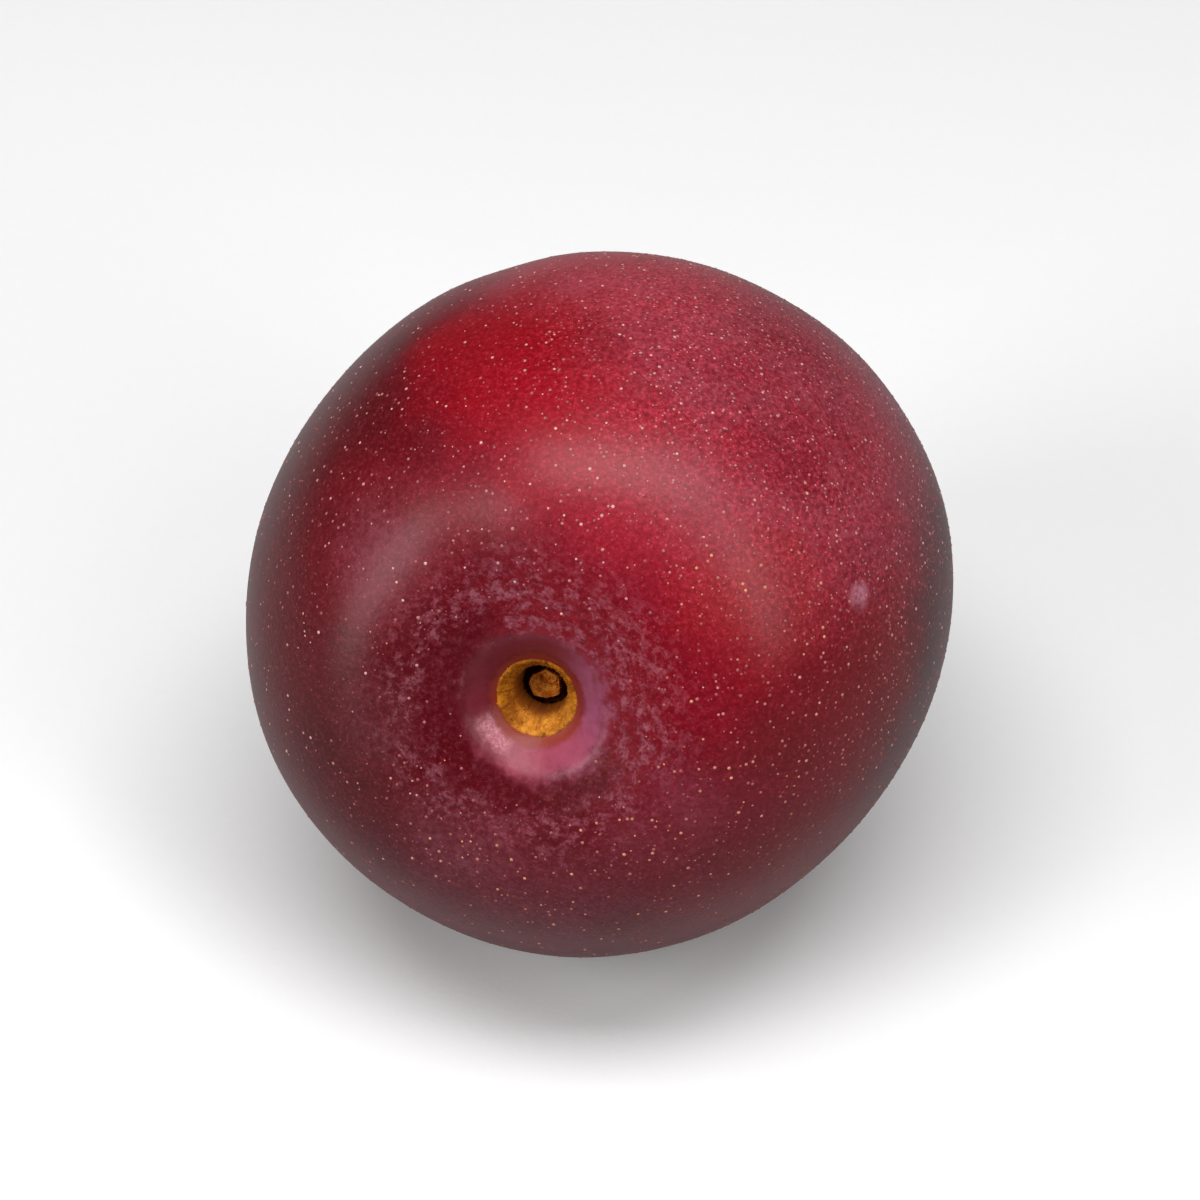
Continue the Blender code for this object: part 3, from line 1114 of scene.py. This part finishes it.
class ScatterTree:
    """A Geometry Nodes tree that strews small studs over a surface.

    Each stud is a low or tall cone on the surface's normal. The surface itself is left out
    of the result.
    """

    SIDES = 8

    def __init__(self, name: str) -> None:
        """Build the tree, with named inputs for its sizes, its spacing and its seed."""
        self.tree = bpy.data.node_groups.new(name, "GeometryNodeTree")
        self.sockets: dict[str, str] = {}
        face = self.tree.interface
        kinds = {
            "Surface": "Geometry",
            "Foot Radius": "Float",
            "Crown Radius": "Float",
            "Height": "Float",
            "Sunk": "Float",
            "Spacing": "Float",
            "Density": "Float",
            "Share Attribute": "String",
            "Tint Attribute": "String",
            "Size Spread": "Float",
            "Lean": "Float",
            "Seed": "Int",
            "Finish": "Material",
        }
        for label, kind in kinds.items():
            self.sockets[label] = face.new_socket(
                label, in_out="INPUT", socket_type=f"NodeSocket{kind}"
            ).identifier
        face.new_socket("Studs", in_out="OUTPUT", socket_type="NodeSocketGeometry")
        graph = Graph(self.tree)
        given, result = graph.node("NodeGroupInput"), graph.node("NodeGroupOutput")
        self._fill(graph, given.outputs, result.inputs["Studs"])

    def _fill(self, graph: Graph, given: Sockets, result: Socket) -> None:
        """Add the tree's nodes between its inputs and its output."""
        share = graph.made(
            "GeometryNodeInputNamedAttribute", {"Name": given["Share Attribute"]}, data_type="FLOAT"
        )
        strewn = graph.node("GeometryNodeDistributePointsOnFaces", distribute_method="POISSON")
        for label, value in (
            ("Mesh", given["Surface"]),
            ("Distance Min", given["Spacing"]),
            ("Density Max", given["Density"]),
            ("Density Factor", share.outputs[0]),
            ("Seed", given["Seed"]),
        ):
            graph.feed(strewn.inputs[label], value)
        cone = graph.made(
            "GeometryNodeMeshCone",
            {
                "Vertices": self.SIDES,
                "Radius Top": given["Crown Radius"],
                "Radius Bottom": given["Foot Radius"],
                "Depth": given["Height"],
            },
        )
        down = graph.upright(graph.times(given["Sunk"], -1.0))
        stud = graph.made(
            "GeometryNodeTransform", {"Geometry": cone.outputs["Mesh"], "Translation": down}
        )
        tint = self._random(graph, given["Seed"], 0.0, 1.0)
        size = graph.line(
            graph.math("SUBTRACT", self._random(graph, given["Seed"], 0.0, 1.0, 7), 0.5),
            given["Size Spread"],
            1.0,
        )
        lean = graph.node("ShaderNodeCombineXYZ")
        for axis, seed in (("X", 11), ("Y", 23)):
            graph.feed(
                lean.inputs[axis],
                graph.times(self._random(graph, given["Seed"], -1.0, 1.0, seed), given["Lean"]),
            )
        turned = graph.made(
            "FunctionNodeRotateRotation",
            {"Rotation": strewn.outputs["Rotation"], "Rotate By": lean.outputs[0]},
            rotation_space="LOCAL",
        )
        placed = graph.made(
            "GeometryNodeInstanceOnPoints",
            {
                "Points": strewn.outputs["Points"],
                "Instance": stud.outputs["Geometry"],
                "Rotation": turned.outputs[0],
                "Scale": size,
            },
        )
        tinted = graph.node("GeometryNodeStoreNamedAttribute", data_type="FLOAT", domain="INSTANCE")
        graph.feed(tinted.inputs["Geometry"], placed.outputs[0])
        graph.feed(tinted.inputs["Name"], given["Tint Attribute"])
        graph.feed(tinted.inputs["Value"], tint)
        real = graph.made("GeometryNodeRealizeInstances", {"Geometry": tinted.outputs[0]})
        dressed = graph.made(
            "GeometryNodeSetMaterial", {"Geometry": real.outputs[0], "Material": given["Finish"]}
        )
        graph.feed(result, dressed.outputs[0])

    @staticmethod
    def _random(graph: Graph, seed: Socket, low: float, high: float, offset: int = 0) -> Socket:
        """Return a random number for each point, from the tree's seed and an offset."""
        node = graph.node("FunctionNodeRandomValue", data_type="FLOAT")
        graph.feed(node.inputs[2], low)
        graph.feed(node.inputs[3], high)
        graph.feed(node.inputs["Seed"], graph.math("ADD", seed, offset))
        return node.outputs[1]

    def strew(self, name: str, surface: Mesh, values: dict[str, object]) -> Mesh:
        """Run the tree on a surface.

        Args:
            name: The name of the result.
            surface: What the studs stand on.
            values: The tree's inputs by name.

        Returns:
            A plain mesh of the studs.
        """
        carrier = bpy.data.objects.new(name, surface)
        bpy.context.scene.collection.objects.link(carrier)
        modifier = carrier.modifiers.new(name, "NODES")
        modifier.node_group = self.tree
        for label, value in values.items():
            modifier[self.sockets[label]] = value
        bpy.context.view_layer.update()
        evaluated = carrier.evaluated_get(bpy.context.evaluated_depsgraph_get())
        mesh = bpy.data.meshes.new_from_object(evaluated)
        carrier.modifiers.clear()
        bpy.data.objects.remove(carrier)
        mesh.name = name
        return mesh


@dataclass
class PlumBody:
    """The skin of the fruit and the pores on it."""

    shape: FruitShape
    seat: Matrix
    effects: Effects
    scatter: ScatterTree
    segments: int = 288
    rings: int = 300
    spacing_at_core: float = 0.10 * MM
    spacing_growth: float = 0.032
    spacing_limit: float = 0.46 * MM
    samples: int = 6000
    wave_size: float = 9.0 * MM
    wave_height: float = 0.10 * MM
    ripple_height: float = 0.030 * MM
    ripple_count: float = 3.4
    ripple_stretch: float = 0.12
    wave_quiet: Zone = (3.0 * MM, 8.0 * MM)
    ripple_quiet: Zone = (2.6 * MM, 3.6 * MM)
    hollow_zone: Zone = (5.0 * MM, 13.0 * MM)
    flat_blend: float = 0.05 * MM
    share_attribute: str = "pore_share"
    pore_radius: float = 0.112 * MM
    pore_height: float = 0.040 * MM
    pore_spacing: float = 0.32 * MM
    pore_density: float = 1150000.0
    pore_usual: float = 0.45
    pore_cloud_share: float = 0.35
    pore_cloud_size: float = 11.0 * MM
    pore_side: tuple[float, float, float] = (0.60, 0.72, 0.35)
    pore_side_share: float = 0.45
    pore_hollow_share: float = 0.85
    bare_radius: float = 5.2 * MM
    bare_height: float = 0.2 * MM

    def ring_angles(self) -> list[float]:
        """Return the polar angle of each ring, both poles included, close where it matters."""
        steps = [math.pi * index / self.samples for index in range(self.samples + 1)]
        outline = [self.shape.profile(polar) for polar in steps]
        travelled = [0.0]
        for (radius, height), (radius_after, height_after) in zip(outline, outline[1:]):
            spacing = min(
                self.spacing_at_core + self.spacing_growth * (radius + radius_after) / 2.0,
                self.spacing_limit,
            )
            travelled.append(
                travelled[-1] + math.hypot(radius_after - radius, height_after - height) / spacing
            )
        angles, index = [], 0
        for ring in range(self.rings + 2):
            goal = travelled[-1] * ring / (self.rings + 1)
            while index < self.samples - 1 and travelled[index + 1] < goal:
                index += 1
            share = (goal - travelled[index]) / (travelled[index + 1] - travelled[index])
            angles.append(
                steps[index] + min(max(share, 0.0), 1.0) * (steps[index + 1] - steps[index])
            )
        return angles

    def relief(self, place: Vector, longitude: float) -> float:
        """Return how far a point of the skin stands out: slow waves and ripples round the stalk."""
        radius = math.hypot(place.x, place.y)
        waves = grain(place, self.wave_size) * self.wave_height
        ring = outward(longitude) * self.ripple_count
        ring += Vector((0.0, 0.0, self.ripple_stretch * radius / MM))
        ripples = noise.noise(ring) * self.ripple_height
        nearness = 0.0
        if place.z > 0.0:
            nearness = fall(radius, *self.hollow_zone) * (1.0 - fall(radius, *self.ripple_quiet))
        quiet = 1.0 - fall(radius, *self.wave_quiet)
        return waves * quiet + ripples * nearness

    def skin_mesh(self) -> Mesh:
        """Return the skin: the solid's own rule with fine relief, flat where it rests."""
        angles = self.ring_angles()

        def place(ring: int, longitude: float) -> Vector:
            """Return a point of the skin in the row frame."""
            local = self.shape.point(angles[ring], longitude)
            local += local.normalized() * self.relief(local, longitude)
            spot = self.seat @ local
            spot.z = (spot.z + math.sqrt(spot.z**2 + self.flat_blend**2)) / 2.0
            return spot

        return closed_wrap("plum_skin", self.segments, self.rings, place)

    def mark_pores(self, mesh: Mesh) -> None:
        """Write on each point of the skin how crowded its pores are, from 0 to 1."""
        back, side = self.seat.inverted(), Vector(self.pore_side).normalized()
        shares = mesh.attributes.new(self.share_attribute, "FLOAT", "POINT")
        values = []
        for vertex in mesh.vertices:
            local = back @ vertex.co
            radius = math.hypot(local.x, local.y)
            upper = local.z > 0.0
            if (upper and radius < self.bare_radius) or vertex.co.z < self.bare_height:
                values.append(0.0)
                continue
            clouds = grain(local, self.pore_cloud_size, 5.0)
            crowd = self.pore_usual + self.pore_cloud_share * clouds
            crowd += self.pore_side_share * max(local.normalized().dot(side), 0.0)
            hollow = fall(radius, *self.hollow_zone) if upper else 0.0
            values.append(min(max(crowd * (1.0 - self.pore_hollow_share * hollow), 0.0), 1.0))
        shares.data.foreach_set("value", values)

    def build(self) -> None:
        """Make the skin and its pores."""
        mesh = self.skin_mesh()
        self.mark_pores(mesh)
        pore_finish = LenticelFinish()
        material = pore_finish.material(self.effects)
        values = {
            "Foot Radius": self.pore_radius,
            "Crown Radius": 0.55 * self.pore_radius,
            "Height": self.pore_height,
            "Sunk": 0.3 * self.pore_height,
            "Spacing": self.pore_spacing,
            "Density": self.pore_density,
            "Share Attribute": self.share_attribute,
            "Tint Attribute": pore_finish.tint_attribute,
            "Size Spread": 0.9,
            "Lean": 0.0,
            "Seed": 4,
            "Finish": material,
        }
        pores = self.scatter.strew("lenticels", mesh, values)
        mesh.attributes.remove(mesh.attributes[self.share_attribute])
        skin = shown("plum_skin", mesh, SkinFinish().material(self.effects), Slot.SKIN)
        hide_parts("fruit")
        shown("lenticels", pores, material, Slot.SKIN)


@dataclass
class StalkEnd:
    """The corky lining of the funnel and the broken stalk that stands in it."""

    shape: FruitShape
    seat: Matrix
    effects: Effects
    scatter: ScatterTree
    lining_segments: int = 220
    lining_top: int = 30
    lining_under: int = 6
    lining_inner: float = 1.80 * MM
    lining_outer: float = 3.02 * MM
    lining_lip: float = 0.15 * MM
    lining_rise: float = 0.07 * MM
    lining_sunk_millimetres: float = 0.14
    slope_step: float = 0.02 * MM
    lip_swing: float = 0.10 * MM
    lip_longitude: float = math.radians(250.0)
    crack_depth: float = 0.10 * MM
    crumb_floor: float = 19.2 * MM
    splinter_floor: float = 18.0 * MM
    crumb_attribute: str = "crumb_share"
    clearance: float = 0.35 * MM
    height: float = 2.10 * MM
    foot_radius: float = 1.22 * MM
    waist_radius: float = 1.04 * MM
    end_radius: float = 1.20 * MM
    corners: tuple[tuple[float, float], ...] = (
        (45.0, 1.20),
        (90.0, 1.10),
        (150.0, 0.96),
        (186.0, 1.04),
        (235.0, 1.12),
        (282.0, 0.88),
        (335.0, 1.08),
    )
    end_slant: float = 0.24 * MM
    end_longitude: float = math.radians(70.0)
    end_hollow: float = 0.16 * MM
    knob_width: float = 0.11 * MM
    knob_height: float = 0.20 * MM
    groove: tuple[float, float, float] = (-0.26 * MM, 0.14 * MM, 0.28 * MM)
    knob: tuple[float, float, float] = (0.48 * MM, 0.66 * MM, 0.26 * MM)
    foot_share: float = 0.2
    side_share: float = 0.68
    segments: int = 96
    rings: int = 80

    def lining_mesh(self) -> Mesh:
        """Return the lining: a rough hoop that lies in the funnel with an uneven lip."""
        across = self.lining_top + self.lining_under

        def place(index: int, longitude: float) -> Vector:
            """Return a point of the lining in the row frame."""
            way = outward(longitude)
            edge = self.lining_outer + 0.16 * MM * grain(way * MM, 0.8 * MM, 2.0)
            edge += 0.05 * MM * grain(way * MM, 0.22 * MM, 4.0)
            edge += self.lip_swing * math.cos(longitude - self.lip_longitude)
            top = index < self.lining_top
            share = (across - index) / (self.lining_under + 1)
            if top:
                share = index / (self.lining_top - 1)
            radius = self.lining_inner + (edge - self.lining_inner) * share
            step, height_at = self.slope_step, self.shape.height_at
            slope = (height_at(radius + step) - height_at(radius - step)) / (2.0 * step)
            out = Vector((-slope * way.x, -slope * way.y, 1.0)).normalized()
            spot = way * radius + Vector((0.0, 0.0, self.shape.height_at(radius)))
            if not top:
                return self.seat @ (spot - out * self.lining_sunk_millimetres * MM)
            rise = self.lining_rise + (self.lining_lip - self.lining_rise) * fall(share, 0.95, 0.55)
            rise *= 1.0 - fall(share, -0.12, 0.0) - 1.3 * (1.0 - fall(share, 0.90, 1.02))
            rough = 0.055 * MM * grain(spot, 0.42 * MM, 6.0)
            rough += 0.030 * MM * grain(spot, 0.17 * MM, 8.0)
            crack = abs(grain(way * 4.2 * MM + Vector((0.0, 0.0, 0.25 * radius)), 1.0 * MM, 9.0))
            rough -= self.crack_depth * fall(crack, 0.0, 0.12)
            return self.seat @ (spot + out * (rise + rough))

        return closed_hoop("cork_lining", self.lining_segments, across, place)

    def section(self, longitude: float) -> float:
        """Return the stub's outline, as a share: an uneven polygon with straight sides."""
        turn = math.degrees(longitude) % 360.0
        nodes = [(angle - 360.0, size) for angle, size in self.corners[-1:]] + list(self.corners)
        nodes += [(angle + 360.0, size) for angle, size in self.corners[:1]]
        for (start, first), (end, second) in zip(nodes, nodes[1:]):
            if start <= turn <= end:
                gap, share = math.radians(end - start), math.radians(turn - start)
                reach = first * math.sin(share) + second * math.sin(gap - share)
                straight = first * second * math.sin(gap) / reach
                return 0.85 * straight + 0.15
        return 1.0

    def end_relief(self, spot: Vector) -> float:
        """Return how far the broken end stands out: its groove, its knob and its crumble."""
        across, width, depth = self.groove
        lift = -depth * math.exp(-(((spot.x - across) / width) ** 2))
        lift *= fall(abs(spot.y - 0.15 * MM), 0.5 * MM, 1.0 * MM)
        x, y, size = self.knob
        ring = (math.hypot(spot.x - x, spot.y - y) - size) / self.knob_width
        lift += self.knob_height * math.exp(-ring * ring)
        lift += 0.09 * MM * grain(spot, 0.45 * MM, 14.0)
        return lift + 0.05 * MM * grain(spot, 0.17 * MM, 15.0)

    def stub_mesh(self) -> Mesh:
        """Return the stub: faceted, fibrous sides under a grooved and knobbly broken end."""
        base = self.shape.profile(0.0)[1] + self.clearance
        last = self.rings + 1
        end_share = 1.0 - self.foot_share - self.side_share

        def place(ring: int, longitude: float) -> Vector:
            """Return a point of the stub in the row frame, from its end down to its foot."""
            down = ring / last
            along = (1.0 - self.foot_share - down) / self.side_share
            way = outward(longitude)
            tilt = self.end_slant * math.cos(longitude - self.end_longitude)
            rib = self.section(longitude) + 0.02 * grain(way * MM, 0.16 * MM, 12.0)
            if down < end_share:
                share = down / end_share
                spot = way * self.end_radius * math.sin(share * math.pi / 2)
                height = self.height - 0.07 * MM * share**6 - self.end_hollow * (1.0 - share) ** 1.5
                calm = 1.0 - 0.6 * share**4
                height += tilt * math.sin(share * math.pi / 2) + self.end_relief(spot) * calm
                wide = 1.0 + (rib - 1.0) * share
                return self.seat @ Vector((spot.x * wide, spot.y * wide, base + height))
            if along > 0.0:
                level = min(along, 1.0)
                radius = self.waist_radius + (self.end_radius - self.waist_radius) * level**2
                radius += (self.foot_radius - self.waist_radius) * (1.0 - level) ** 2
                height = self.height * (0.06 + 0.90 * level) + tilt * level
                spot = way * radius * rib
                spot += way * 0.03 * MM * grain(spot + Vector((0, 0, height)), 0.5 * MM, 16.0)
                return self.seat @ (spot + Vector((0.0, 0.0, base + height)))
            share = min(-along * self.side_share / self.foot_share, 1.0)
            radius = self.foot_radius * math.cos(share * math.pi / 2)
            radius *= 1.0 + (rib - 1.0) * (1.0 - share)
            height = self.height * 0.06 * (1.0 - share)
            return self.seat @ (way * radius + Vector((0.0, 0.0, base + height)))

        return closed_wrap("stalk_end", self.segments, self.rings, place)

    def mark(self, mesh: Mesh, attribute: str, share: Callable[[Vector], float]) -> None:
        """Write a crowding share on each point of a mesh.

        Args:
            mesh: The mesh.
            attribute: The attribute's name.
            share: Gives the share at a place in the fruit's frame.
        """
        back = self.seat.inverted()
        values = [min(max(share(back @ vertex.co), 0.0), 1.0) for vertex in mesh.vertices]
        mesh.attributes.new(attribute, "FLOAT", "POINT").data.foreach_set("value", values)

    def build(self) -> None:
        """Make the lining, the stub and the crumbs and splinters on them."""
        cork = StalkFinish(
            "cork_finish",
            (0.470, 0.165, 0.007),
            (0.270, 0.072, 0.003),
            (0.170, 0.046, 0.003),
            # Pale colour of the painted highlight on the lit side, then the grain size.
            (0.680, 0.265, 0.030),
            0.55,
        )
        wood = StalkFinish(
            "stalk_finish",
            (0.640, 0.230, 0.028),
            (0.400, 0.085, 0.003),
            (0.160, 0.034, 0.003),
            # Pale colour of the painted highlight on the lit side, then the grain size.
            (0.700, 0.240, 0.026),
            0.30,
            # Painted shade heights, its colour and its strength, then the longitude of the painted
            # highlight's side.
            (17.0, 18.4),
            (0.160, 0.038, 0.004),
            0.85,
            200.0,
        )
        cork_material, wood_material = cork.material(self.effects), wood.material(self.effects)
        lining, stub = self.lining_mesh(), self.stub_mesh()
        self.mark(
            lining,
            self.crumb_attribute,
            lambda spot: 0.5 + grain(spot, 0.9 * MM, 3.0) if spot.z > self.crumb_floor else 0.0,
        )
        self.mark(
            stub, self.crumb_attribute, lambda spot: 1.0 if spot.z > self.splinter_floor else 0.0
        )
        crumbs = {
            "Foot Radius": 0.070 * MM,
            "Crown Radius": 0.030 * MM,
            "Height": 0.070 * MM,
            "Sunk": 0.022 * MM,
            "Spacing": 0.15 * MM,
            "Density": 3.0e7,
            "Share Attribute": self.crumb_attribute,
            "Tint Attribute": "tint",
            "Size Spread": 1.0,
            "Lean": 0.6,
            "Seed": 8,
            "Finish": cork_material,
        }
        splinters = {
            **crumbs,
            "Foot Radius": 0.045 * MM,
            "Crown Radius": 0.012 * MM,
            "Height": 0.11 * MM,
            "Sunk": 0.03 * MM,
            "Spacing": 0.20 * MM,
            "Seed": 15,
            "Finish": wood_material,
        }
        crumb_mesh = self.scatter.strew("cork_crumbs", lining, crumbs)
        splinter_mesh = self.scatter.strew("stalk_splinters", stub, splinters)
        for mesh in (lining, stub):
            mesh.attributes.remove(mesh.attributes[self.crumb_attribute])
        shown("cork_lining", lining, cork_material, Slot.STALK)
        shown("cork_crumbs", crumb_mesh, cork_material, Slot.STALK)
        end = shown("stalk_end", stub, wood_material, Slot.STALK)
        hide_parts("stalk_stub")
        shown("stalk_splinters", splinter_mesh, wood_material, Slot.STALK)


@dataclass(frozen=True)
class SoftBox:
    """A soft rectangular light that faces the fruit.

    Args:
        name: Its name.
        azimuth: Where it stands, in degrees from the front towards the right.
        elevation: How high it stands, in degrees.
        distance: How far it is from the fruit.
        size: Its width and height.
        power: Its power in watts.
    """

    name: str
    azimuth: float
    elevation: float
    distance: float
    size: tuple[float, float]
    power: float


@dataclass
class Studio:
    """The pale floor, the soft lights, the surroundings and the camera."""

    aim: Vector
    floor_half: float = 8.0
    azimuth: float = 13.6
    elevation: float = 44.4
    distance: float = 0.305
    lens: float = 118.0
    sensor: float = 36.0
    surround: float = 0.06
    backdrop: float = 1.0
    lights: tuple[SoftBox, ...] = (
        SoftBox("top_softbox", 14.0, 79.0, 0.60, (0.58, 0.22), 3.20),
        SoftBox("left_softbox", -46.5, 24.0, 0.60, (0.20, 0.44), 1.90),
        SoftBox("right_softbox", 61.0, 37.0, 0.60, (0.18, 0.44), 1.10),
    )

    def toward(self, azimuth: float, elevation: float) -> Vector:
        """Return the unit direction from the fruit to a place round it, given in degrees."""
        turn, rise = math.radians(azimuth), math.radians(elevation)
        return Vector(
            (math.sin(turn) * math.cos(rise), -math.cos(turn) * math.cos(rise), math.sin(rise))
        )

    def stand(
        self, name: str, data: bpy.types.ID, way: Vector, distance: float
    ) -> bpy.types.Object:
        """Stand a light or camera off the fruit, facing it.

        Args:
            name: The object's name.
            data: The light or the camera.
            way: The unit direction from the fruit.
            distance: How far off it stands.

        Returns:
            The object.
        """
        thing = bpy.data.objects.new(name, data)
        thing.location = self.aim + way * distance
        thing.rotation_euler = way.to_track_quat("Z", "Y").to_euler()
        bpy.context.scene.collection.objects.link(thing)
        return thing

    def build_floor(self) -> None:
        """Lay the floor."""
        half = self.floor_half
        mesh = bpy.data.meshes.new("floor")
        mesh.from_pydata(
            [(-half, -half, 0), (half, -half, 0), (half, half, 0), (-half, half, 0)],
            [],
            [(0, 1, 2, 3)],
        )
        mesh.materials.append(FloorFinish().material())
        floor = bpy.data.objects.new("floor", mesh)
        bpy.context.scene.collection.objects.link(floor)

    def build_lights(self) -> None:
        """Hang the soft lights and set the surroundings."""
        for box in self.lights:
            data = bpy.data.lights.new(box.name, "AREA")
            data.shape = "RECTANGLE"
            data.size, data.size_y = box.size
            data.energy = box.power
            light = self.stand(
                box.name, data, self.toward(box.azimuth, box.elevation), box.distance
            )
            light.visible_camera = False
        world = bpy.data.worlds.new("surroundings")
        bpy.context.scene.world = world
        world.use_nodes = True
        graph = Graph(world.node_tree)
        background = world.node_tree.nodes["Background"]
        seen = graph.node("ShaderNodeLightPath").outputs["Is Camera Ray"]
        graph.feed(
            background.inputs["Strength"], graph.fade(seen, 0.0, 1.0, self.surround, self.backdrop)
        )
        background.inputs["Color"].default_value = (1.0, 1.0, 1.0, 1.0)

    def build_camera(self) -> None:
        """Stand the camera at the photograph's angle."""
        data = bpy.data.cameras.new("view")
        data.lens, data.sensor_width = self.lens, self.sensor
        data.clip_start, data.clip_end = 0.01, 50.0
        bpy.context.scene.camera = self.stand(
            "view", data, self.toward(self.azimuth, self.elevation), self.distance
        )
        bpy.context.scene.view_settings.view_transform = "Standard"


def main() -> None:
    """Build the plum and its studio."""
    logging.basicConfig(level=logging.INFO, format="%(name)s: %(message)s")
    shape = FruitShape()
    seat = shape.seat()
    log.info("seat of the fruit: %s", [round(part / MM, 3) for part in seat.to_translation()])
    effects = Effects(seat)
    scatter = ScatterTree("studs on a surface")
    studio = Studio(aim=seat.to_translation())
    studio.build_camera()
    PlumBody(shape, seat, effects, scatter).build()
    StalkEnd(shape, seat, effects, scatter).build()
    studio.build_floor()
    studio.build_lights()


if __name__ == "__main__":
    main()
